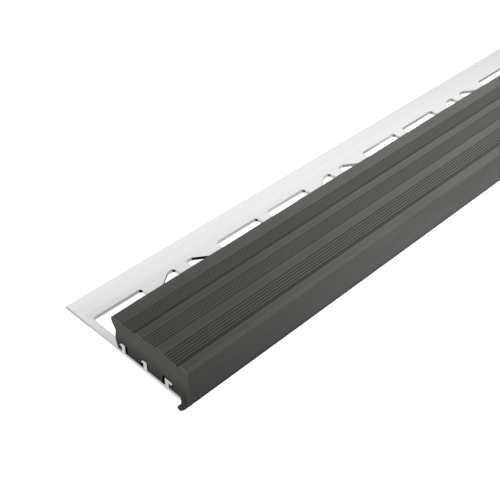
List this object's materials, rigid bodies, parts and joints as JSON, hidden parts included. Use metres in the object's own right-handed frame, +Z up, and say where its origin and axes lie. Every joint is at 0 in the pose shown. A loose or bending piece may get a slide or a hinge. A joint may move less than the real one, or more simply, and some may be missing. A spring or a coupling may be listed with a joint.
{
  "type": "stair nosing",
  "caption": "Stair nosing for tiled steps: a punched aluminium support profile with hooks and a ribbed soft tread insert with an overhanging nose.",
  "frame": {"origin": "mid length, on the front lower edge of the support plate, the line that is set on the edge of the step", "axes": "+X along the length, +Y back over the tread towards the anchoring leg, +Z up; the nose faces -Y"},
  "size_m": [1, 0.0561, 0.0188],
  "materials": {
    "support_aluminium": "extruded mill finish, faintly brushed along the length",
    "insert_rubber": "matt dark grey soft plastic"
  },
  "bodies": {
    "root": {"support_profile": "support_aluminium", "tread_insert": "insert_rubber"}
  },
  "joints": []
}
